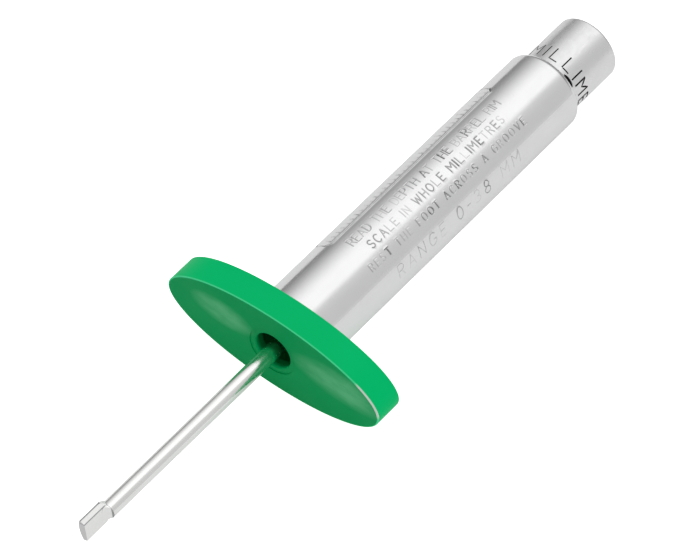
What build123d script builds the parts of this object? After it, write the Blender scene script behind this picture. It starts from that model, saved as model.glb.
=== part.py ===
from build123d import *
from math import cos, radians, sin
import os

# Pencil-type tread depth gauge, lying on its side.
# X runs along the tool: the foot's datum face is x = 0, the probe points to -X and the sleeve to +X.
# Y runs along the long way of the foot, and Z is up, across the short way.

os.makedirs("parts", exist_ok=True)

# Travel
TRAVEL = 38.0  # how far the probe stands out of the foot at rest

# Foot
FOOT_HALF_LENGTH = 17.68
FOOT_HALF_WIDTH = 6.8
FOOT_THICKNESS = 4.5
FOOT_EDGE_RADIUS = 0.15
FOOT_HOLE_RADIUS = 2.9
FOOT_HOLE_EDGE_RADIUS = 0.2
FOOT_WEB_THICKNESS = 1.6  # the wall that the hole goes through, in front of the wider bore
FOOT_BORE_RADIUS = 4.0  # the hollow spigot's bore
HOLE_RECESS_RADIUS = 3.78  # shallow moulded recess round the hole
HOLE_RECESS_DEPTH = 0.12
SPIGOT_END_X = 11.8
SPIGOT_CHAMFER = 0.4
GUIDE_START_X = 9.4

# Barrel
BARREL_RADIUS = 6.0
BARREL_BORE_RADIUS = 5.45
BARREL_END_X = 60.0
LIP_RADIUS = 5.0  # the sleeve's running hole in the rolled-in mouth

# Indicator sleeve
SLEEVE_RADIUS = 4.94
SLEEVE_BORE_RADIUS = 4.44
SLEEVE_END_X = 69.85
SLEEVE_EDGE_RADIUS = 0.4
PLUG_START_X = 64.0
PLUG_FACE_X = 69.6
PLUG_WALL = 0.8
PLUG_FACE_RADIUS = 0.5

# Hub and friction ring
HUB_RADIUS = 5.37
HUB_START_X = 12.0
HUB_SHOULDER_X = 21.3  # comes up to the rolled mouth at the end of the travel
HUB_SPIGOT_END_X = 28.8
HUB_CHAMFER = 0.35
HUB_STOP_CHAMFER = 0.1
GROOVE_RADIUS = 4.4
GROOVE_START_X = 14.9
GROOVE_END_X = 16.6
RING_OUTER_RADIUS = 5.42
RING_INNER_RADIUS = 4.5
RING_START_X = 15.0
RING_END_X = 16.5
RING_GAP = 1.0

# Probe
ROD_RADIUS = 1.175
ROD_END_X = 32.8
ROD_END_CHAMFER = 0.2
DRIVE_SLOT_WIDTH = 0.5
DRIVE_SLOT_DEPTH = 0.8
BLADE_HALF_WIDTH = 1.8
BLADE_FULL_WIDTH_LENGTH = 3.2
BLADE_LENGTH = 4.4  # from the tip to the shoulder where the rod is round again
FLARE_LENGTH = 4.95  # from the tip to where the pressed sides meet the round rod
FLARE_END_HALF_WIDTH = 0.9
BLADE_FRONT = 0.1  # height of the ground flat front above the probe's axis
RUNOUT_RADIUS = 0.9  # of the hollow that leads from the flat up to the shoulder
BLADE_UPPER_CORNER = 1.32  # half widths of the flat front, upper and lower side
BLADE_LOWER_CORNER = 1.62
BLADE_UPPER_SIDE = 0.58  # depth of the blade's upper and lower outer edges
BLADE_LOWER_SIDE = 0.54
BLADE_BEVEL = (1.66, -0.8)  # (across, height) where the upper edge's small bevel meets the back
BLADE_CREST = (0.2, -1.0)  # (across, height) of the crowned back's highest point
BLADE_TURN = 9.9  # degrees that the free-spinning blade happens to lie off the foot's short axis
GUIDE_BORE_RADIUS = ROD_RADIUS + 0.06

# Lock nut and washer
WASHER_RADIUS = 2.3
WASHER_BORE_RADIUS = ROD_RADIUS + 0.07
WASHER_THICKNESS = 0.6
WASHER_GAP = 0.4
NUT_ACROSS_FLATS = 5.0
NUT_THICKNESS = 2.0
NUT_CHAMFER = 0.25

TIP_X = -TRAVEL
SHOULDER_X = TIP_X + BLADE_LENGTH
WASHER_START_X = HUB_SPIGOT_END_X
NUT_START_X = WASHER_START_X + WASHER_THICKNESS


# Foot: an oval plate with a hollow spigot for the barrel and a clearance hole for the probe in a thin web
with BuildPart() as foot:
    with BuildSketch(Plane.YZ):
        Ellipse(FOOT_HALF_LENGTH, FOOT_HALF_WIDTH)
    extrude(amount=FOOT_THICKNESS)
    fillet(foot.edges(), radius=FOOT_EDGE_RADIUS)
    with BuildSketch(Plane.YZ.offset(FOOT_THICKNESS)):
        Circle(BARREL_BORE_RADIUS)
    extrude(amount=SPIGOT_END_X - FOOT_THICKNESS)
    chamfer(foot.edges().group_by(Axis.X)[-1], length=SPIGOT_CHAMFER)
    with BuildSketch(Plane.YZ):
        Circle(HOLE_RECESS_RADIUS)
    extrude(amount=HOLE_RECESS_DEPTH, mode=Mode.SUBTRACT)
    with BuildSketch(Plane.YZ):
        Circle(FOOT_HOLE_RADIUS)
    extrude(amount=FOOT_WEB_THICKNESS, mode=Mode.SUBTRACT)
    hole_edges = foot.edges().filter_by(GeomType.CIRCLE)
    hole_edges = hole_edges.filter_by(lambda edge: edge.radius < HOLE_RECESS_RADIUS)
    fillet(hole_edges.sort_by(Axis.X)[0], radius=FOOT_HOLE_EDGE_RADIUS)
    with BuildSketch(Plane.YZ.offset(FOOT_WEB_THICKNESS)):
        Circle(FOOT_BORE_RADIUS)
    extrude(amount=SPIGOT_END_X - FOOT_WEB_THICKNESS, mode=Mode.SUBTRACT)

# Probe guide: a flat bush pressed into the end of the foot's bore
with BuildPart() as probe_guide:
    with BuildSketch(Plane.YZ.offset(GUIDE_START_X)):
        Circle(FOOT_BORE_RADIUS)
        Circle(GUIDE_BORE_RADIUS, mode=Mode.SUBTRACT)
    extrude(amount=SPIGOT_END_X - GUIDE_START_X)

# Barrel: a thin tube whose mouth is rolled in, so that it guides the sleeve and stops the hub
lip_outer_curl = BARREL_RADIUS - LIP_RADIUS
lip_inner_curl = BARREL_BORE_RADIUS - LIP_RADIUS
lip_centre_x = BARREL_END_X - lip_outer_curl
with BuildPart() as barrel:
    with BuildSketch(Plane.XY):
        with BuildLine():
            Line((FOOT_THICKNESS, BARREL_BORE_RADIUS), (FOOT_THICKNESS, BARREL_RADIUS))
            Line((FOOT_THICKNESS, BARREL_RADIUS), (lip_centre_x, BARREL_RADIUS))
            RadiusArc((lip_centre_x, BARREL_RADIUS), (BARREL_END_X, LIP_RADIUS), lip_outer_curl)
            Line((BARREL_END_X, LIP_RADIUS), (lip_centre_x + lip_inner_curl, LIP_RADIUS))
            RadiusArc(
                (lip_centre_x + lip_inner_curl, LIP_RADIUS),
                (lip_centre_x, BARREL_BORE_RADIUS),
                -lip_inner_curl,
            )
            Line((lip_centre_x, BARREL_BORE_RADIUS), (FOOT_THICKNESS, BARREL_BORE_RADIUS))
        make_face()
    revolve(axis=Axis.X)

# Indicator sleeve: the tube that slides out of the barrel and carries the scale
with BuildPart() as indicator_sleeve:
    with BuildSketch(Plane.YZ.offset(HUB_SHOULDER_X)):
        Circle(SLEEVE_RADIUS)
    extrude(amount=SLEEVE_END_X - HUB_SHOULDER_X)
    fillet(indicator_sleeve.edges().group_by(Axis.X)[-1], radius=SLEEVE_EDGE_RADIUS)
    with BuildSketch(Plane.YZ.offset(HUB_SHOULDER_X)):
        Circle(SLEEVE_BORE_RADIUS)
    extrude(amount=SLEEVE_END_X - HUB_SHOULDER_X, mode=Mode.SUBTRACT)

# Sleeve plug: a shallow cup with a rounded end face, pressed into the sleeve's free end
with BuildPart() as sleeve_plug:
    with BuildSketch(Plane.YZ.offset(PLUG_START_X)):
        Circle(SLEEVE_BORE_RADIUS)
    extrude(amount=PLUG_FACE_X - PLUG_START_X)
    fillet(sleeve_plug.edges().group_by(Axis.X)[-1], radius=PLUG_FACE_RADIUS)
    with BuildSketch(Plane.YZ.offset(PLUG_START_X)):
        Circle(SLEEVE_BORE_RADIUS - PLUG_WALL)
    extrude(amount=PLUG_FACE_X - PLUG_START_X - PLUG_WALL, mode=Mode.SUBTRACT)

# Probe hub: the piston that joins the probe to the sleeve, with a groove for the friction ring
with BuildPart() as probe_hub:
    with BuildSketch(Plane.YZ.offset(HUB_START_X)):
        Circle(HUB_RADIUS)
    extrude(amount=HUB_SHOULDER_X - HUB_START_X)
    chamfer(probe_hub.edges().group_by(Axis.X)[0], length=HUB_CHAMFER)
    chamfer(probe_hub.edges().group_by(Axis.X)[-1], length=HUB_STOP_CHAMFER)
    with BuildSketch(Plane.YZ.offset(HUB_SHOULDER_X)):
        Circle(SLEEVE_BORE_RADIUS)
    extrude(amount=HUB_SPIGOT_END_X - HUB_SHOULDER_X)
    chamfer(probe_hub.edges().group_by(Axis.X)[-1], length=HUB_CHAMFER)
    with BuildSketch(Plane.YZ.offset(GROOVE_START_X)):
        Circle(HUB_RADIUS)
        Circle(GROOVE_RADIUS, mode=Mode.SUBTRACT)
    extrude(amount=GROOVE_END_X - GROOVE_START_X, mode=Mode.SUBTRACT)
    with BuildSketch(Plane.YZ.offset(HUB_START_X)):
        Circle(ROD_RADIUS)
    extrude(amount=HUB_SPIGOT_END_X - HUB_START_X, mode=Mode.SUBTRACT)

# Friction ring: a split ring that drags on the barrel's bore and holds the reading
with BuildPart() as friction_ring:
    with BuildSketch(Plane.YZ.offset(RING_START_X)):
        Circle(RING_OUTER_RADIUS)
        Circle(RING_INNER_RADIUS, mode=Mode.SUBTRACT)
        with Locations((0, (RING_OUTER_RADIUS + RING_INNER_RADIUS) / 2)):
            Rectangle(RING_GAP, 2 * (RING_OUTER_RADIUS - RING_INNER_RADIUS), mode=Mode.SUBTRACT)
    extrude(amount=RING_END_X - RING_START_X)

# Probe rod: a round rod with its end pressed wider and its front ground to a chisel tip
blade_up = Vector(0, sin(radians(BLADE_TURN)), cos(radians(BLADE_TURN)))
blade_out = Vector(0, -cos(radians(BLADE_TURN)), sin(radians(BLADE_TURN)))
full_width_x = TIP_X + BLADE_FULL_WIDTH_LENGTH
flare_end_x = TIP_X + FLARE_LENGTH
runout_x = SHOULDER_X - RUNOUT_RADIUS
with BuildPart() as probe_rod:
    with BuildSketch(Plane(origin=(TIP_X, 0, 0), x_dir=blade_up, z_dir=(1, 0, 0))):
        with BuildLine():
            Polyline(
                (-BLADE_HALF_WIDTH, -BLADE_LOWER_SIDE),
                (-BLADE_LOWER_CORNER, BLADE_FRONT),
                (BLADE_UPPER_CORNER, BLADE_FRONT),
                (BLADE_HALF_WIDTH, -BLADE_UPPER_SIDE),
                BLADE_BEVEL,
            )
            ThreePointArc(BLADE_BEVEL, BLADE_CREST, (-BLADE_HALF_WIDTH, -BLADE_LOWER_SIDE))
        make_face()
    extrude(amount=FLARE_LENGTH)
    with BuildSketch(Plane(origin=(0, 0, 0), x_dir=(1, 0, 0), z_dir=blade_out).offset(-2 * ROD_RADIUS)):
        with BuildLine():
            Polyline(
                (full_width_x, -BLADE_HALF_WIDTH),
                (TIP_X, -BLADE_HALF_WIDTH),
                (TIP_X, BLADE_HALF_WIDTH),
                (full_width_x, BLADE_HALF_WIDTH),
            )
            Spline(
                (full_width_x, BLADE_HALF_WIDTH),
                (flare_end_x, FLARE_END_HALF_WIDTH),
                tangents=((1, 0), (1, -0.5)),
            )
            Line((flare_end_x, FLARE_END_HALF_WIDTH), (flare_end_x, -FLARE_END_HALF_WIDTH))
            Spline(
                (flare_end_x, -FLARE_END_HALF_WIDTH),
                (full_width_x, -BLADE_HALF_WIDTH),
                tangents=((-1, -0.5), (-1, 0)),
            )
        make_face()
    extrude(amount=4 * ROD_RADIUS, mode=Mode.INTERSECT)
    with BuildSketch(Plane.YZ.offset(runout_x)):
        Circle(ROD_RADIUS)
    extrude(amount=ROD_END_X - runout_x)
    with BuildSketch(Plane(origin=(0, 0, 0), x_dir=(1, 0, 0), z_dir=-blade_up)):
        with BuildLine():
            Line((TIP_X, BLADE_FRONT), (runout_x, BLADE_FRONT))
            RadiusArc(
                (runout_x, BLADE_FRONT), (SHOULDER_X, BLADE_FRONT + RUNOUT_RADIUS), -RUNOUT_RADIUS
            )
            Polyline(
                (SHOULDER_X, BLADE_FRONT + RUNOUT_RADIUS),
                (SHOULDER_X, 2 * ROD_RADIUS),
                (TIP_X, 2 * ROD_RADIUS),
                (TIP_X, BLADE_FRONT),
            )
        make_face()
    extrude(amount=2 * BLADE_HALF_WIDTH, both=True, mode=Mode.SUBTRACT)
    chamfer(probe_rod.edges().group_by(Axis.X)[-1], length=ROD_END_CHAMFER)
    with BuildSketch(Plane.YZ.offset(ROD_END_X - DRIVE_SLOT_DEPTH)):
        Rectangle(2 * ROD_RADIUS, DRIVE_SLOT_WIDTH)
    extrude(amount=DRIVE_SLOT_DEPTH, mode=Mode.SUBTRACT)

# Lock washer: a split spring washer between the hub and the nut
with BuildPart() as lock_washer:
    with BuildSketch(Plane.YZ.offset(WASHER_START_X)):
        Circle(WASHER_RADIUS)
        Circle(WASHER_BORE_RADIUS, mode=Mode.SUBTRACT)
        with Locations((0, (WASHER_RADIUS + WASHER_BORE_RADIUS) / 2)):
            Rectangle(WASHER_GAP, 2 * (WASHER_RADIUS - WASHER_BORE_RADIUS), mode=Mode.SUBTRACT)
    extrude(amount=WASHER_THICKNESS)

# Lock nut: holds the probe at its zero setting in the hub
with BuildPart() as lock_nut:
    with BuildSketch(Plane.YZ.offset(NUT_START_X)):
        RegularPolygon(NUT_ACROSS_FLATS / 2, side_count=6, major_radius=False)
    extrude(amount=NUT_THICKNESS)
    chamfer(lock_nut.edges().group_by(Axis.X)[-1], length=NUT_CHAMFER)
    with BuildSketch(Plane.YZ.offset(NUT_START_X)):
        Circle(ROD_RADIUS)
    extrude(amount=NUT_THICKNESS, mode=Mode.SUBTRACT)

pieces = {
    "foot": foot,
    "probe_guide": probe_guide,
    "barrel": barrel,
    "indicator_sleeve": indicator_sleeve,
    "sleeve_plug": sleeve_plug,
    "probe_hub": probe_hub,
    "friction_ring": friction_ring,
    "probe_rod": probe_rod,
    "lock_washer": lock_washer,
    "lock_nut": lock_nut,
}
for label, piece in pieces.items():
    piece.part.label = label
    export_step(piece.part, f"parts/{label}.step")
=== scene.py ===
import math
import random

import bmesh
import bpy
import numpy as np
from mathutils import Euler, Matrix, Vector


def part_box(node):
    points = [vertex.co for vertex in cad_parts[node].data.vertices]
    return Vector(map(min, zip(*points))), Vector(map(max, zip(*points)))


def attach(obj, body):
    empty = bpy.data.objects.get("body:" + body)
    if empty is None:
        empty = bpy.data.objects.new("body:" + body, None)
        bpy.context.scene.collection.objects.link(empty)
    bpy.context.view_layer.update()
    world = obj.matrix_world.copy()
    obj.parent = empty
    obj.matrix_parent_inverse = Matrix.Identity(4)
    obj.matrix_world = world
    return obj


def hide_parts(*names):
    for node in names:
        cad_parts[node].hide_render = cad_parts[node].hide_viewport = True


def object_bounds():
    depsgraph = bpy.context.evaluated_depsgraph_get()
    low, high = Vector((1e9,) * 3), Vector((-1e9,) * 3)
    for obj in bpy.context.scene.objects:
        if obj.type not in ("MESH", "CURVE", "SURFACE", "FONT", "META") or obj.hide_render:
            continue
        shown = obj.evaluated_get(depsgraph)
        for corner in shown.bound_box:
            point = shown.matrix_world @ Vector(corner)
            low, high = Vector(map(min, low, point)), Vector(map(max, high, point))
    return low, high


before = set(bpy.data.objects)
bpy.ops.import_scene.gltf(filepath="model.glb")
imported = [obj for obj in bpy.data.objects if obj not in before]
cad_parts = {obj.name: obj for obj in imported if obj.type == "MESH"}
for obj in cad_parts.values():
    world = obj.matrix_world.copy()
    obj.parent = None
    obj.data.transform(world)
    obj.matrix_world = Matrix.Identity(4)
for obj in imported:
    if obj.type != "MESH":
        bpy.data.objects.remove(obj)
cad_low, cad_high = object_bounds()

MM = 0.001

# ---------------------------------------------------------------- sizes from the CAD, in metres
barrel_low, barrel_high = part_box("barrel")
_, sleeve_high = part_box("indicator_sleeve")
probe_low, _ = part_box("probe_rod")
_, foot_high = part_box("foot")
BARREL_RADIUS = barrel_high.y
BARREL_START = barrel_low.x
BARREL_END = barrel_high.x
SLEEVE_RADIUS = sleeve_high.y
BARREL_WALL = 0.55 * MM
RIM_CURL = 1.0 * MM  # outer radius of the rolled mouth
BARREL_BORE = BARREL_RADIUS - BARREL_WALL
LIP_RADIUS = BARREL_RADIUS - RIM_CURL
TRAVEL = -probe_low.x
FLOOR_Z = cad_low.z
MILLED_LENGTH = 3.9 * MM  # of the probe's ground end
SHOULDER_LENGTH = 4.4 * MM  # from the tip to where the rod is round again
BLADE_TURN = 9.9  # degrees that the blade lies off the foot's short axis

# ---------------------------------------------------------------- colours, wear, and painted light and shade
# painted shade for the lines along the blade's edges and at its shoulder
EDGE_PAINTED_SHADE = (0.12, 0.125, 0.13)
# painted shade that darkens the blade's end face
END_FACE_PAINTED_SHADE = (0.30, 0.305, 0.31)
CUTTER_MARK_DEPTH = 0.01 * MM
SHOULDER_SHADE_LINE = 0.04 * MM  # half width of the painted shade line where the ground end starts
EDGE_SHADE_LINES = (
    # height up the blade, half width of the line, how dark
    (1.32 * MM, 0.085 * MM, 0.75),
    (1.80 * MM, 0.09 * MM, 0.8),
)
FOOT_BORE_RADIUS = 4.05 * MM  # the foot is darker inside this, where no light gets past the rod
FACE_DEPTH = 0.25 * MM  # how far behind the foot's face its painted shade, scuffs and painted edge highlights reach
SCUFFS = (
    # centre (y, z) and reach (y, z) of each scuff on the foot's face
    ((8.5 * MM, 1.3 * MM), (5.6 * MM, 2.5 * MM)),
    ((-11.2 * MM, 1.7 * MM), (8.4 * MM, 3.0 * MM)),
)
GREEN_DEEP = (0.0, 0.69, 0.200)
GREEN_LIGHT = (0.0, 0.78, 0.240)
# painted shade: the foot's face is darker than its sides
FOOT_FACE_PAINTED_SHADE = (0.0, 0.45, 0.128)
# painted shade inside the foot's bore
BORE_PAINTED_SHADE = (0.0, 0.14, 0.02)
# painted highlight along the edge between the foot's face and side
EDGE_PAINTED_HIGHLIGHT = (0.10, 1.0, 0.44)
SCUFF_COLOUR = (0.32, 0.95, 0.52)
# painted highlight on one bit of the face's edge
EDGE_GLINT_PAINTED = (0.95, 1.0, 0.93)
SINK_WAVE_DEPTH = 0.35 * MM
SKIN_DEPTH = 0.004 * MM
# painted shade for the stamped strokes and the rolled rim's crease
STAMP_PAINTED_SHADE = (0.12, 0.12, 0.13)
FILLING_DEPTH = 0.006 * MM


# ---------------------------------------------------------------- materials
def new_material(name):
    """A material with an empty Principled surface; returns it with its node tree and shader."""
    material = bpy.data.materials.new(name)
    material.use_nodes = True
    tree = material.node_tree
    shader = tree.nodes["Principled BSDF"]
    return material, tree, shader


def add(tree, kind, **settings):
    """A node of that kind; settings are its own properties, or its inputs where a name has an input."""
    node = tree.nodes.new(kind)
    for key, value in settings.items():
        if hasattr(node, key):
            setattr(node, key, value)
        else:
            node.inputs[key.replace("_", " ")].default_value = value
    return node


def stretched(tree, scale):
    """Object coordinates in metres times a scale per axis."""
    coordinates = add(tree, "ShaderNodeTexCoord")
    mapping = add(tree, "ShaderNodeMapping")
    mapping.inputs["Scale"].default_value = scale
    tree.links.new(coordinates.outputs["Object"], mapping.inputs["Vector"])
    return mapping.outputs["Vector"]


def noise(tree, scale, detail=3.0, roughness=0.5):
    node = add(tree, "ShaderNodeTexNoise", Scale=1.0, Detail=detail, Roughness=roughness)
    tree.links.new(stretched(tree, scale), node.inputs["Vector"])
    return node.outputs["Fac"]


def remap(tree, value, low, high, new_low, new_high):
    node = add(tree, "ShaderNodeMapRange")
    node.inputs["From Min"].default_value = low
    node.inputs["From Max"].default_value = high
    node.inputs["To Min"].default_value = new_low
    node.inputs["To Max"].default_value = new_high
    tree.links.new(value, node.inputs["Value"])
    return node.outputs["Result"]


def maths(tree, operation, a, b):
    node = add(tree, "ShaderNodeMath", operation=operation)
    for socket, value in zip(node.inputs, (a, b)):
        if isinstance(value, (int, float)):
            socket.default_value = value
        else:
            tree.links.new(value, socket)
    return node.outputs["Value"]


def place(tree, axis):
    """One object coordinate, in metres."""
    split = add(tree, "ShaderNodeSeparateXYZ")
    tree.links.new(add(tree, "ShaderNodeTexCoord").outputs["Object"], split.inputs[0])
    return split.outputs[axis]


def soft_spot(tree, centre, reach):
    """1 at a point of the foot's face, falling to 0 at an oval round it; centre and reach are (y, z)."""
    squares = []
    for axis, middle, size in zip("YZ", centre, reach):
        offset = maths(tree, "DIVIDE", maths(tree, "SUBTRACT", place(tree, axis), middle), size)
        squares.append(maths(tree, "MULTIPLY", offset, offset))
    return remap(tree, maths(tree, "ADD", *squares), 0.0, 1.0, 1.0, 0.0)


def tinted(tree, shader, factor, colour):
    """Lays a colour over whatever already feeds the shader's base colour."""
    mix = tree.nodes.new("ShaderNodeMix")
    mix.data_type = "RGBA"
    tree.links.new(factor, mix.inputs["Factor"])
    tree.links.new(shader.inputs["Base Color"].links[0].from_socket, mix.inputs["A"])
    mix.inputs["B"].default_value = (*colour, 1)
    tree.links.new(mix.outputs["Result"], shader.inputs["Base Color"])


def blend_colour(tree, factor, first, second):
    node = add(tree, "ShaderNodeMix", data_type="RGBA")
    tree.links.new(factor, node.inputs["Factor"])
    node.inputs["A"].default_value = (*first, 1)
    node.inputs["B"].default_value = (*second, 1)
    return node.outputs["Result"]


def bumped(tree, shader, layers):
    """Stacks bump nodes, one per (height, depth in metres), onto the shader's normal."""
    normal = None
    for height, depth in layers:
        bump = add(tree, "ShaderNodeBump", Strength=1.0, Distance=depth)
        tree.links.new(height, bump.inputs["Height"])
        if normal is not None:
            tree.links.new(normal, bump.inputs["Normal"])
        normal = bump.outputs["Normal"]
    tree.links.new(normal, shader.inputs["Normal"])


def darkened_stamps(tree, shader):
    """Painted shade in the stamped strokes and the rolled rim's crease, by the mesh's stamp value, in
    patches; those places are also made rougher.
    """
    sunk = add(tree, "ShaderNodeAttribute", attribute_name="stamp").outputs["Fac"]
    core = maths(tree, "POWER", sunk, 1.3)
    patches = remap(tree, noise(tree, (1500, 1500, 1500), 3.0), 0.3, 0.7, 0.45, 1.0)
    # painted shade, darker where the mesh is sunk deeper
    stamp_shade = maths(tree, "MULTIPLY", core, patches)
    tinted(tree, shader, stamp_shade, STAMP_PAINTED_SHADE)
    gloss = shader.inputs["Roughness"].links[0].from_socket
    dull = maths(tree, "ADD", gloss, maths(tree, "MULTIPLY", stamp_shade, 0.3))
    tree.links.new(dull, shader.inputs["Roughness"])


def bright_metal(name, light, dark, gloss, ring_pitch, ring_depth, dent_depth):
    """Plated or drawn metal: fine polishing rings round the axis, faint dents, dull patches and
    hairline scratches."""
    material, tree, shader = new_material(name)
    shader.inputs["Metallic"].default_value = 1.0
    patches = noise(tree, (260, 420, 420), 4.0)
    tree.links.new(blend_colour(tree, patches, dark, light), shader.inputs["Base Color"])
    rings = noise(tree, (1 / ring_pitch, 120, 120), 2.0)
    dents = noise(tree, (110, 170, 170), 1.0)
    scratches = remap(tree, noise(tree, (9000, 900, 900), 1.0), 0.68, 0.75, 0.0, 1.0)
    dull = remap(tree, noise(tree, (900, 2200, 2200), 3.0), 0.3, 0.7, gloss * 0.8, gloss * 1.25)
    rough = maths(tree, "ADD", dull, maths(tree, "MULTIPLY", scratches, 0.12))
    tree.links.new(rough, shader.inputs["Roughness"])
    bumped(tree, shader, [(dents, dent_depth), (rings, ring_depth), (scratches, -ring_depth)])
    return material


def near(tree, value, middle, half_width):
    """1 at a value, falling to 0 half a width either side of it."""
    away = maths(tree, "ABSOLUTE", maths(tree, "SUBTRACT", value, middle), 0.0)
    return remap(tree, away, 0.35 * half_width, half_width, 1.0, 0.0)


def milled_end(material):
    """Cutter marks across the probe's ground end, painted shade lines where its faces meet, and painted
    shade on its end face.
    """
    tree = material.node_tree
    shader = tree.nodes["Principled BSDF"]
    along = place(tree, "X")
    turn = math.radians(BLADE_TURN)
    upward = maths(
        tree, "ADD",
        maths(tree, "MULTIPLY", place(tree, "Y"), math.sin(turn)),
        maths(tree, "MULTIPLY", place(tree, "Z"), math.cos(turn)),
    )
    on_blade = remap(tree, along, -TRAVEL + MILLED_LENGTH, -TRAVEL + 1.1 * MILLED_LENGTH, 1.0, 0.0)
    # painted shade lines along the blade's edges, where its faces meet
    for place_on_blade, half_width, share in EDGE_SHADE_LINES:
        line = maths(tree, "MULTIPLY", near(tree, upward, place_on_blade, half_width), on_blade)
        tinted(tree, shader, maths(tree, "MULTIPLY", line, share), EDGE_PAINTED_SHADE)
    # a painted shade line in the crease where the ground end starts
    shoulder = near(tree, along, -TRAVEL + SHOULDER_LENGTH, SHOULDER_SHADE_LINE)
    tinted(tree, shader, maths(tree, "MULTIPLY", shoulder, 0.7), EDGE_PAINTED_SHADE)
    # painted shade on the blade's end face
    end_face = remap(tree, along, -TRAVEL, -TRAVEL + 0.02 * MM, 0.45, 0.0)
    tinted(tree, shader, end_face, END_FACE_PAINTED_SHADE)
    marks = maths(tree, "MULTIPLY", noise(tree, (5200, 260, 260), 2.0), on_blade)
    bump = add(tree, "ShaderNodeBump", Strength=1.0, Distance=CUTTER_MARK_DEPTH)
    tree.links.new(marks, bump.inputs["Height"])
    tree.links.new(shader.inputs["Normal"].links[0].from_socket, bump.inputs["Normal"])
    tree.links.new(bump.outputs["Normal"], shader.inputs["Normal"])


def moulded_plastic(name):
    """Green moulded plastic: sink waves, a fine skin, painted shade on the face, painted shade in the bore,
    two handling scuffs, a painted highlight along the face's edge and a brighter painted highlight on one
    bit of that edge."""
    material, tree, shader = new_material(name)
    clouds = noise(tree, (90, 55, 90), 3.0)
    tree.links.new(blend_colour(tree, clouds, GREEN_DEEP, GREEN_LIGHT), shader.inputs["Base Color"])
    on_face = remap(tree, place(tree, "X"), 0.6 * FACE_DEPTH, FACE_DEPTH, 1.0, 0.0)
    # painted shade over the whole face
    tinted(tree, shader, on_face, FOOT_FACE_PAINTED_SHADE)
    streaks = remap(tree, noise(tree, (300, 260, 700), 4.0), 0.30, 0.66, 0.45, 1.0)
    for centre, reach in SCUFFS:
        spot = soft_spot(tree, centre, reach)
        scuff = maths(tree, "MULTIPLY", spot, maths(tree, "MULTIPLY", on_face, streaks))
        tinted(tree, shader, maths(tree, "MULTIPLY", scuff, 0.50), SCUFF_COLOUR)
    out_y = maths(tree, "DIVIDE", place(tree, "Y"), foot_high.y)
    out_z = maths(tree, "DIVIDE", place(tree, "Z"), foot_high.z)
    square_y = maths(tree, "MULTIPLY", out_y, out_y)
    square_z = maths(tree, "MULTIPLY", out_z, out_z)
    oval = maths(tree, "ADD", square_y, square_z)
    edge = maths(tree, "MULTIPLY", remap(tree, oval, 0.971, 0.982, 0.0, 1.0), on_face)
    # a brighter painted highlight on the upper side near one end of the face's edge, also made rougher
    near_end = remap(tree, out_y, -0.80, -0.76, 1.0, 0.0)
    upper_side = remap(tree, out_z, 0.02, 0.12, 0.0, 1.0)
    edge_glint = maths(tree, "MULTIPLY", edge, maths(tree, "MULTIPLY", near_end, upper_side))
    # painted highlight along the face's edge
    tinted(tree, shader, edge, EDGE_PAINTED_HIGHLIGHT)
    tinted(tree, shader, edge_glint, EDGE_GLINT_PAINTED)
    squares = [maths(tree, "MULTIPLY", place(tree, axis), place(tree, axis)) for axis in "YZ"]
    from_axis = maths(tree, "SQRT", maths(tree, "ADD", *squares), 0.0)
    # painted shade inside the bore, darker further in
    in_bore = maths(tree, "LESS_THAN", from_axis, FOOT_BORE_RADIUS)
    deeper = remap(tree, place(tree, "X"), 0.1 * MM, 0.9 * MM, 0.0, 0.85)
    tinted(tree, shader, maths(tree, "MULTIPLY", in_bore, deeper), BORE_PAINTED_SHADE)
    skin = noise(tree, (2600, 2600, 2600), 2.0)
    dull = remap(tree, noise(tree, (420, 420, 420), 3.0), 0.3, 0.7, 0.30, 0.40)
    rough = maths(tree, "ADD", dull, maths(tree, "MULTIPLY", edge_glint, 0.3))
    tree.links.new(rough, shader.inputs["Roughness"])
    shader.inputs["Specular IOR Level"].default_value = 0.04
    waves = noise(tree, (60, 105, 150), 1.0)
    bumped(tree, shader, [(waves, SINK_WAVE_DEPTH), (skin, SKIN_DEPTH)])
    return material


def black_filling(name):
    """Black paint rubbed into the engraving, dull and slightly worn through."""
    material, tree, shader = new_material(name)
    worn = remap(tree, noise(tree, (2400, 2400, 2400), 4.0), 0.62, 0.74, 0.0, 1.0)
    colour = blend_colour(tree, worn, (0.003, 0.003, 0.003), (0.05, 0.05, 0.05))
    tree.links.new(colour, shader.inputs["Base Color"])
    tree.links.new(remap(tree, worn, 0.0, 1.0, 0.62, 0.42), shader.inputs["Roughness"])
    shader.inputs["Specular IOR Level"].default_value = 0.12
    bumped(tree, shader, [(noise(tree, (5200, 5200, 5200), 2.0), FILLING_DEPTH)])
    return material


# name, light and dark colour, gloss, then ring pitch, ring depth and dent depth in metres
barrel_metal = bright_metal(
    "barrel_plating", (0.90, 0.90, 0.90), (0.84, 0.84, 0.845), 0.15, 0.00022, 0.0000008, 0.00002
)
sleeve_metal = bright_metal(
    "sleeve_plating", (0.89, 0.89, 0.89), (0.84, 0.84, 0.845), 0.31, 0.00028, 0.0000012, 0.00003
)
probe_metal = bright_metal(
    "probe_steel", (0.985, 0.99, 0.975), (0.91, 0.915, 0.90), 0.17, 0.0004, 0.0000015, 0.00002
)
darkened_stamps(barrel_metal.node_tree, barrel_metal.node_tree.nodes["Principled BSDF"])
milled_end(probe_metal)
spring_metal = bright_metal(
    "spring_steel", (0.40, 0.41, 0.43), (0.28, 0.29, 0.31), 0.32, 0.0003, 0.000002, 0.00001
)
brass_metal = bright_metal(
    "turned_brass", (0.80, 0.60, 0.28), (0.62, 0.45, 0.19), 0.24, 0.0003, 0.000003, 0.00001
)
foot_plastic = moulded_plastic("foot_plastic")
mark_black = black_filling("mark_black")

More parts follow.
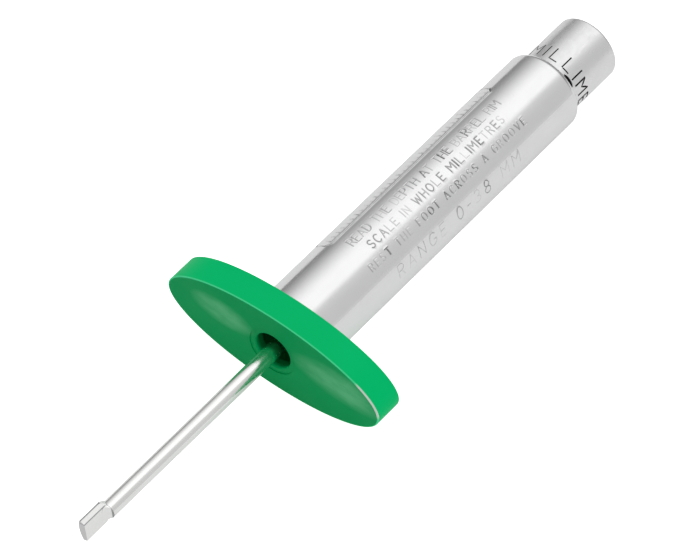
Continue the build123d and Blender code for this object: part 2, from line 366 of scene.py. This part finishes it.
NODE_MATERIALS = {
    "foot": foot_plastic,
    "probe_guide": brass_metal,
    "barrel": barrel_metal,
    "indicator_sleeve": sleeve_metal,
    "sleeve_plug": sleeve_metal,
    "probe_hub": brass_metal,
    "friction_ring": spring_metal,
    "probe_rod": probe_metal,
    "lock_washer": spring_metal,
    "lock_nut": probe_metal,
}
for node_name, material in NODE_MATERIALS.items():
    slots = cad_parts[node_name].material_slots
    for material_slot in slots:
        material_slot.material = material


# ---------------------------------------------------------------- single-stroke lettering
def arc(cx, cy, rx, ry, start, end, steps=8):
    """Points along an ellipse's arc, from start to end in degrees."""
    turns = [math.radians(start + (end - start) * i / steps) for i in range(steps + 1)]
    return [(cx + rx * math.cos(t), cy + ry * math.sin(t)) for t in turns]


# Each glyph: its width and its strokes, for a height of 1.
GLYPHS = {
    " ": (0.30, []),
    "-": (0.34, [[(0, 0.48), (0.34, 0.48)]]),
    "A": (0.66, [[(0, 0), (0.33, 1), (0.66, 0)], [(0.12, 0.36), (0.54, 0.36)]]),
    "B": (0.56, [[(0, 0), (0, 1), (0.28, 1)] + arc(0.28, 0.76, 0.24, 0.24, 90, -90) + [(0, 0.52)],
                 arc(0.28, 0.26, 0.28, 0.26, 90, -90) + [(0, 0)]]),
    "C": (0.64, [arc(0.36, 0.5, 0.36, 0.5, 48, 312, 12)]),
    "D": (0.60, [[(0, 0), (0, 1), (0.20, 1)] + arc(0.20, 0.5, 0.40, 0.5, 90, -90, 10) + [(0, 0)]]),
    "E": (0.52, [[(0.52, 1), (0, 1), (0, 0), (0.52, 0)], [(0, 0.52), (0.42, 0.52)]]),
    "F": (0.50, [[(0.50, 1), (0, 1), (0, 0)], [(0, 0.52), (0.40, 0.52)]]),
    "G": (0.68, [arc(0.36, 0.5, 0.36, 0.5, 48, 335, 12) + [(0.68, 0.46), (0.42, 0.46)]]),
    "H": (0.60, [[(0, 0), (0, 1)], [(0.60, 0), (0.60, 1)], [(0, 0.5), (0.60, 0.5)]]),
    "I": (0.0, [[(0, 0), (0, 1)]]),
    "L": (0.56, [[(0, 1), (0, 0), (0.56, 0)]]),
    "M": (0.74, [[(0, 0), (0, 1), (0.37, 0.45), (0.74, 1), (0.74, 0)]]),
    "N": (0.60, [[(0, 0), (0, 1), (0.60, 0), (0.60, 1)]]),
    "O": (0.70, [arc(0.35, 0.5, 0.35, 0.5, 90, 450, 14)]),
    "P": (0.56, [[(0, 0), (0, 1), (0.30, 1)] + arc(0.30, 0.74, 0.26, 0.26, 90, -90) + [(0, 0.48)]]),
    "R": (0.58, [[(0, 0), (0, 1), (0.30, 1)] + arc(0.30, 0.75, 0.26, 0.25, 90, -90) + [(0, 0.50)],
                 [(0.30, 0.50), (0.58, 0)]]),
    "S": (0.56, [arc(0.28, 0.75, 0.26, 0.25, 30, 270) + arc(0.28, 0.25, 0.28, 0.25, 90, -150)[1:]]),
    "T": (0.60, [[(0, 1), (0.60, 1)], [(0.30, 1), (0.30, 0)]]),
    "U": (0.60, [[(0, 1), (0, 0.30)] + arc(0.30, 0.30, 0.30, 0.30, 180, 360) + [(0.60, 1)]]),
    "V": (0.64, [[(0, 1), (0.32, 0), (0.64, 1)]]),
    "W": (0.90, [[(0, 1), (0.22, 0), (0.45, 0.8), (0.68, 0), (0.90, 1)]]),
    "0": (0.58, [arc(0.29, 0.5, 0.29, 0.5, 90, 450, 14)]),
    "1": (0.20, [[(0, 0.78), (0.20, 1), (0.20, 0)]]),
    "2": (0.56, [arc(0.28, 0.73, 0.27, 0.27, 160, -30) + [(0, 0), (0.56, 0)]]),
    "3": (0.56, [arc(0.26, 0.76, 0.25, 0.24, 150, -90) + arc(0.26, 0.26, 0.29, 0.26, 90, -150)[1:]]),
    "4": (0.58, [[(0.44, 0), (0.44, 1), (0, 0.30), (0.58, 0.30)]]),
    "5": (0.56, [[(0.50, 1), (0.08, 1), (0.03, 0.56)] + arc(0.26, 0.32, 0.29, 0.32, 110, -145, 10)]),
    "8": (0.56, [arc(0.28, 0.76, 0.22, 0.24, 90, 450, 12), arc(0.28, 0.26, 0.28, 0.26, 90, 450, 12)]),
}


def text_width(text, height, gap):
    return sum(GLYPHS[c][0] * height for c in text) + gap * (len(text) - 1)


def text_letters(text, height, gap):
    """For each character its strokes, as lists of (along, up); the line of text starts at 0."""
    cursor, letters = 0.0, []
    for c in text:
        width, shapes = GLYPHS[c]
        letters.append([[(cursor + x * height, y * height) for x, y in shape] for shape in shapes])
        cursor += width * height + gap
    return letters


# ---------------------------------------------------------------- the barrel, with its stamped marks
# A place on the barrel is (x, turn): turn is the angle about the tool's axis, from +Y towards +Z.
STAMP_WIDTH = 0.060 * MM
STAMP_REACH = 0.24 * MM
STAMP_FULL_DEPTH = 0.06 * MM
RIM_SHADE_WIDTH = 0.22 * MM  # painted shade where the rolled rim meets the sleeve
ROWS = (
    # text, first x, last x, angle of the baseline, angle of the letters' tops, depth; in mm and degrees
    ("READ THE DEPTH AT THE BARREL RIM", 16.9, 49.3, 89.5, 76.5, 0.085),
    ("SCALE IN WHOLE MILLIMETRES", 18.5, 47.5, 110.0, 98.0, 0.095),
    ("REST THE FOOT ACROSS A GROOVE", 16.1, 49.9, 131.3, 121.0, 0.085),
    ("RANGE 0-38 MM", 19.8, 46.4, 168.0, 149.0, 0.085),
)
PANEL_X = (15.2, 51.3)  # millimetres
PANEL_TURN = (62.0, 30.0)  # degrees
PANEL_DEPTH = 0.12 * MM
PANEL_CORNER = 0.7 * MM
PANEL_TICKS = 35
TICK_INSET = 0.5 * MM
TICK_DEPTH = 0.030 * MM
LONG_TICK = 1.5 * MM
SHORT_TICK = 0.8 * MM
FINE_STEP = 0.045 * MM  # the mesh's step where something is stamped
STAMPED_X = (14.6 * MM, 52.0 * MM)
STAMPED_TURNS = ((28, 64), (74.5, 91.5), (96, 112), (119, 133.5), (147, 170.5))
BURR_SHARE = 0.30  # a stamped stroke raises its sides by this share of its depth
random.seed(11)


def stamp_strokes():
    """Every stamped stroke as ([(x, arc length)], depth), in metres."""
    found = []
    for text, first, last, base, top, depth in ROWS:
        height = math.radians(base - top) * BARREL_RADIUS
        room = (last - first) * MM - text_width(text, height, 0)
        gap = room / (len(text) - 1)
        baseline = math.radians(base) * BARREL_RADIUS
        for strokes in text_letters(text, height, gap):
            blow = random.uniform(0.22, 1.0)
            for stroke in strokes:
                pressure = blow * random.uniform(0.6, 1.0)
                points = [(first * MM + along, baseline - up) for along, up in stroke]
                found.append((points, depth * MM * pressure))
    left, right = (x * MM for x in PANEL_X)
    low, high = (math.radians(turn) * BARREL_RADIUS for turn in PANEL_TURN)
    inner_left, inner_right = left + PANEL_CORNER, right - PANEL_CORNER
    inner_low, inner_high = low - PANEL_CORNER, high + PANEL_CORNER
    outline = [
        (inner_left, low), (inner_right, low), (right, inner_low), (right, inner_high),
        (inner_right, high), (inner_left, high), (left, inner_high), (left, inner_low),
        (inner_left, low),
    ]
    found.append((outline, PANEL_DEPTH))
    for tick in range(1, PANEL_TICKS + 1):
        x = left + tick * MM
        length = LONG_TICK if tick % 5 == 0 else SHORT_TICK
        start = low - TICK_INSET
        found.append(([(x, start), (x, start - length)], TICK_DEPTH * random.uniform(0.5, 1.0)))
    return found


def spaced(start, end, step):
    count = max(1, math.ceil((end - start) / step - 1e-9))
    return [start + (end - start) * i / count for i in range(count)]


def build_barrel():
    """The barrel as one closed mesh: the CAD tube and rolled lip, with the stamped marks pressed in."""
    xs = spaced(BARREL_START, STAMPED_X[0], 1.6 * MM)
    xs += spaced(*STAMPED_X, FINE_STEP)
    xs += spaced(STAMPED_X[1], BARREL_END - RIM_CURL, 1.2 * MM)
    fine = math.degrees(FINE_STEP / BARREL_RADIUS)
    turns, here = [], 0.0
    for start, end in STAMPED_TURNS:
        turns += spaced(here, start, 3.0) + spaced(start, end, fine)
        here = end
    turns += spaced(here, 360.0, 3.0)
    xs, arcs = np.array(xs), np.radians(turns) * BARREL_RADIUS
    sunk = np.zeros((len(xs), len(arcs)))
    raised = np.zeros_like(sunk)
    for points, depth in stamp_strokes():
        for (x0, s0), (x1, s1) in zip(points, points[1:]):
            rows = np.where((xs > min(x0, x1) - STAMP_REACH) & (xs < max(x0, x1) + STAMP_REACH))[0]
            cols = np.where((arcs > min(s0, s1) - STAMP_REACH) & (arcs < max(s0, s1) + STAMP_REACH))[0]
            px, ps = np.meshgrid(xs[rows], arcs[cols], indexing="ij")
            dx, ds = x1 - x0, s1 - s0
            t = np.clip(((px - x0) * dx + (ps - s0) * ds) / max(dx * dx + ds * ds, 1e-18), 0, 1)
            away = np.hypot(px - x0 - t * dx, ps - s0 - t * ds)
            area = np.ix_(rows, cols)
            sunk[area] = np.maximum(sunk[area], depth * np.exp(-((away / STAMP_WIDTH) ** 2)))
            burr = BURR_SHARE * depth * np.exp(-(((away - 2 * STAMP_WIDTH) / (0.7 * STAMP_WIDTH)) ** 2))
            raised[area] = np.maximum(raised[area], burr)
    curl_x = BARREL_END - RIM_CURL
    inner_curl = BARREL_BORE - LIP_RADIUS
    profile = [(x, BARREL_RADIUS) for x in xs]
    profile += [(curl_x + dx * MM, LIP_RADIUS + dr * MM) for dx, dr in arc(0, 0, 1.0, 1.0, 90, 0, 14)]
    profile += [(curl_x + dx, LIP_RADIUS + dr) for dx, dr in arc(0, 0, inner_curl, inner_curl, 0, 90, 8)]
    profile += [(x, BARREL_BORE) for x in np.linspace(curl_x - 1.0 * MM, BARREL_START, 12)]
    radius = np.array([r for _, r in profile])[:, None] * np.ones(len(arcs))
    radius[: len(xs)] += np.where(sunk > raised, -sunk, raised)
    along = np.array([x for x, _ in profile])[:, None] * np.ones(len(arcs))
    angle = np.radians(turns)[None, :] * np.ones((len(profile), 1))
    points = np.stack([along, radius * np.cos(angle), radius * np.sin(angle)], axis=-1).reshape(-1, 3)
    rows, cols = radius.shape
    i, j = np.meshgrid(np.arange(rows), np.arange(cols), indexing="ij")
    i2, j2 = (i + 1) % rows, (j + 1) % cols
    faces = np.stack([i * cols + j, i * cols + j2, i2 * cols + j2, i2 * cols + j], axis=-1).reshape(-1, 4)
    mesh = bpy.data.meshes.new("barrel_shell")
    mesh.from_pydata(points.tolist(), [], faces.tolist())
    depths = np.zeros(radius.shape, dtype=np.float32)
    depths[: len(xs)] = np.clip(sunk / STAMP_FULL_DEPTH, 0, 1)
    # painted shade in the rolled rim's crease, darkest at the lip
    rim_shaded = (along >= curl_x) & (radius <= LIP_RADIUS + RIM_SHADE_WIDTH)
    depths[rim_shaded] = 1 - (radius[rim_shaded] - LIP_RADIUS) / RIM_SHADE_WIDTH
    mesh.attributes.new("stamp", "FLOAT", "POINT").data.foreach_set("value", depths.ravel())
    mesh.shade_smooth()
    mesh.set_sharp_from_angle(angle=math.radians(48))
    mesh.materials.append(barrel_metal)
    shell = bpy.data.objects.new("barrel_shell", mesh)
    bpy.context.scene.collection.objects.link(shell)
    return shell


barrel_shell = build_barrel()
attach(barrel_shell, "barrel")
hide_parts("barrel")


# ---------------------------------------------------------------- black-filled marks on the sleeve
# Lengths are in metres and turns in degrees.
MARK_TOP = 0.008 * MM
MARK_SUNK = 0.05 * MM
UNIT_NAME = "MILLIMETRES"
UNIT_START_TURN = 39.5
UNIT_GAP = 1.08 * MM
LETTER_BASE_X = 61.0 * MM
LETTER_HEIGHT = 2.15 * MM
LETTER_LINE = 0.27 * MM
SCALE_LENGTH = round(TRAVEL / MM)
SCALE_ZERO_X = BARREL_END - TRAVEL + 0.40 * MM  # the rolled rim hides this much of the sleeve
SCALE_TURN = 130.0
SCALE_LINE_WIDTH = 0.14 * MM
LONG_LINE_TURN = 17
SHORT_LINE_TURN = 12
END_BAR_TURN = 133.0
END_BAR_WIDTH = 0.56 * MM
END_BAR_TAPER = 0.8
NUMERAL_TURN = 21  # from the middle of the lines to the numerals
NUMERAL_HEIGHT = 1.3 * MM
NUMERAL_GAP = 0.35 * MM
NUMERAL_LINE = 0.18 * MM


def filled_stroke(bm, points, full_width, taper, radius):
    """One engraved stroke filled flush with paint: a closed strip that follows the sleeve's round surface.
    points are (x, arc length) in metres; taper is how much of its width the stroke loses at both ends."""
    run = [points[0]]
    for (x0, s0), (x1, s1) in zip(points, points[1:]):
        parts = max(1, math.ceil(abs(s1 - s0) / (0.35 * MM)))
        run += [(x0 + (x1 - x0) * k / parts, s0 + (s1 - s0) * k / parts) for k in range(1, parts + 1)]
    rings = []
    for index, (x, s) in enumerate(run):
        before, after = run[max(index - 1, 0)], run[min(index + 1, len(run) - 1)]
        dx, ds = after[0] - before[0], after[1] - before[1]
        size = math.hypot(dx, ds)
        dx, ds = dx / size, ds / size
        width = full_width * (1 - taper * abs(2 * index / (len(run) - 1) - 1) ** 3)
        ends = (-0.5 if index == 0 else 0.5 if index == len(run) - 1 else 0) * width
        corners = []
        for side, height in ((-0.5, MARK_TOP), (0.5, MARK_TOP), (0.5, -MARK_SUNK), (-0.5, -MARK_SUNK)):
            px = x + dx * ends * 0.6 - ds * side * width
            turn = (s + ds * ends * 0.6 + dx * side * width) / radius
            r = radius + height
            corners.append(bm.verts.new((px, r * math.cos(turn), r * math.sin(turn))))
        rings.append(corners)
    for first, second in zip(rings, rings[1:]):
        for k in range(4):
            bm.faces.new((first[k], first[(k + 1) % 4], second[(k + 1) % 4], second[k]))
    bm.faces.new(rings[0][::-1])
    bm.faces.new(rings[-1])


def marks_object(name, strokes, radius, body):
    """strokes are (points, width, taper)."""
    bm = bmesh.new()
    for points, width, taper in strokes:
        filled_stroke(bm, points, width, taper, radius)
    bmesh.ops.recalc_face_normals(bm, faces=bm.faces)
    mesh = bpy.data.meshes.new(name)
    bm.to_mesh(mesh)
    bm.free()
    mesh.materials.append(mark_black)
    piece = bpy.data.objects.new(name, mesh)
    bpy.context.scene.collection.objects.link(piece)
    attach(piece, body)
    return piece


def unit_strokes():
    """The unit's name round the sleeve: letters' tops towards the free end, lines wider as it goes."""
    start = math.radians(UNIT_START_TURN) * SLEEVE_RADIUS
    strokes = []
    for index, letter in enumerate(text_letters(UNIT_NAME, LETTER_HEIGHT, UNIT_GAP)):
        width = LETTER_LINE * min(1.0, 0.44 + 0.10 * index)
        for stroke in letter:
            strokes.append(([(LETTER_BASE_X + up, start + along) for along, up in stroke], width, 0.0))
    return strokes


def scale_strokes():
    """A line for each millimetre of depth, longer at each fifth. The line that just clears the barrel's
    rolled rim is the reading, and the last one is a broad bar."""
    strokes = []
    for depth in range(SCALE_LENGTH + 1):
        last = depth == SCALE_LENGTH
        middle = math.radians(END_BAR_TURN if last else SCALE_TURN) * SLEEVE_RADIUS
        half = math.radians(LONG_LINE_TURN if depth % 5 == 0 else SHORT_LINE_TURN) * SLEEVE_RADIUS
        points = [(SCALE_ZERO_X + depth * MM, middle + half * k / 6) for k in range(-6, 7)]
        width, taper = (END_BAR_WIDTH, END_BAR_TAPER) if last else (SCALE_LINE_WIDTH, 0.0)
        strokes.append((points, width, taper))
    return strokes


def numeral_strokes():
    strokes = []
    start = math.radians(SCALE_TURN + NUMERAL_TURN) * SLEEVE_RADIUS
    for depth in range(0, SCALE_LENGTH + 1, 5):
        low_x = SCALE_ZERO_X + depth * MM - NUMERAL_HEIGHT / 2
        for letter in text_letters(str(depth), NUMERAL_HEIGHT, NUMERAL_GAP):
            for stroke in letter:
                strokes.append(([(low_x + up, start + along) for along, up in stroke], NUMERAL_LINE, 0.0))
    return strokes


marks_object("unit_lettering", unit_strokes(), SLEEVE_RADIUS, "plunger")
marks_object("scale_lines", scale_strokes(), SLEEVE_RADIUS, "plunger")
marks_object("scale_numerals", numeral_strokes(), SLEEVE_RADIUS, "plunger")


# ---------------------------------------------------------------- floor, light and camera
FLOOR_GLOW_IN_REFLECTIONS = 0.225


def build_floor():
    """A plain white sweep. It shows white to the camera and a softer grey in the metal's reflections."""
    bm = bmesh.new()
    bmesh.ops.create_grid(bm, x_segments=1, y_segments=1, size=4.0)
    mesh = bpy.data.meshes.new("floor")
    bm.to_mesh(mesh)
    bm.free()
    material, tree, shader = new_material("floor_white")
    shader.inputs["Base Color"].default_value = (0.85, 0.85, 0.85, 1)
    shader.inputs["Roughness"].default_value = 0.8
    glow = add(tree, "ShaderNodeEmission", Strength=1.0)
    path = add(tree, "ShaderNodeLightPath")
    both = add(tree, "ShaderNodeAddShader")
    dark = add(tree, "ShaderNodeEmission", Strength=FLOOR_GLOW_IN_REFLECTIONS)
    pick = add(tree, "ShaderNodeMixShader")
    tree.links.new(path.outputs["Is Camera Ray"], pick.inputs["Fac"])
    tree.links.new(dark.outputs[0], pick.inputs[1])
    tree.links.new(glow.outputs[0], pick.inputs[2])
    tree.links.new(shader.outputs[0], both.inputs[0])
    tree.links.new(pick.outputs[0], both.inputs[1])
    tree.links.new(both.outputs[0], tree.nodes["Material Output"].inputs["Surface"])
    mesh.materials.append(material)
    floor = bpy.data.objects.new("floor", mesh)
    floor.location.z = FLOOR_Z
    bpy.context.scene.collection.objects.link(floor)


# Brightness of the studio round the tool's axis, by angle above the +Y side: the floor's edge, a dark gap,
# a long soft box overhead, and a plain grey wall on the near side.
STUDIO = (
    (-180, 0.66), (-176, 0.72), (-5, 0.72), (-1, 0.27), (9, 0.27), (22, 0.40), (36, 0.58), (50, 0.78),
    (64, 0.96), (78, 1.08), (109.5, 1.10), (115.5, 0.88), (121, 0.70), (140, 0.62), (172, 0.60), (180, 0.66),
)


def build_world():
    world = bpy.data.worlds.new("studio")
    bpy.context.scene.world = world
    world.use_nodes = True
    tree = world.node_tree
    background = tree.nodes["Background"]
    coordinates = add(tree, "ShaderNodeTexCoord")
    split = add(tree, "ShaderNodeSeparateXYZ")
    tree.links.new(coordinates.outputs["Generated"], split.inputs[0])
    angle = maths(tree, "ARCTAN2", split.outputs["Z"], split.outputs["Y"])
    round_axis = remap(tree, angle, -math.pi, math.pi, 0.0, 1.0)
    ramp = add(tree, "ShaderNodeValToRGB")
    tree.links.new(round_axis, ramp.inputs["Fac"])
    stops = ramp.color_ramp.elements
    while len(stops) > 1:
        stops.remove(stops[-1])
    for index, (degrees, level) in enumerate(STUDIO):
        where = (degrees + 180) / 360
        stop = stops[0] if index == 0 else stops.new(where)
        stop.position = where
        stop.color = (level, level, level, 1)
    # dimmer towards both ends of the tool's axis, the foot's more gradually
    front = remap(tree, split.outputs["X"], -1.0, 0.4, 0.30, 1.0)
    behind = remap(tree, split.outputs["X"], 0.65, 1.0, 1.0, 0.25)
    lit = maths(tree, "MULTIPLY", ramp.outputs["Color"], maths(tree, "MULTIPLY", front, behind))
    path = add(tree, "ShaderNodeLightPath")
    seen = add(tree, "ShaderNodeMix", data_type="FLOAT")
    tree.links.new(path.outputs["Is Camera Ray"], seen.inputs["Factor"])
    tree.links.new(lit, seen.inputs["A"])
    seen.inputs["B"].default_value = 1.0
    tree.links.new(seen.outputs["Result"], background.inputs["Color"])


def build_camera():
    """The photograph's view: from the foot's side, above, through a long lens."""
    data = bpy.data.cameras.new("camera")
    data.sensor_width = 36.0
    data.lens = 253.85
    data.clip_start = 0.05
    data.clip_end = 20.0
    camera = bpy.data.objects.new("camera", data)
    camera.location = (-0.31972, -0.23613, 0.51084)
    camera.rotation_euler = Euler([math.radians(turn) for turn in (38.702, -2.479, -51.837)], "XYZ")
    bpy.context.scene.collection.objects.link(camera)
    bpy.context.scene.camera = camera


build_floor()
build_world()
build_camera()
bpy.context.scene.view_settings.view_transform = "Standard"
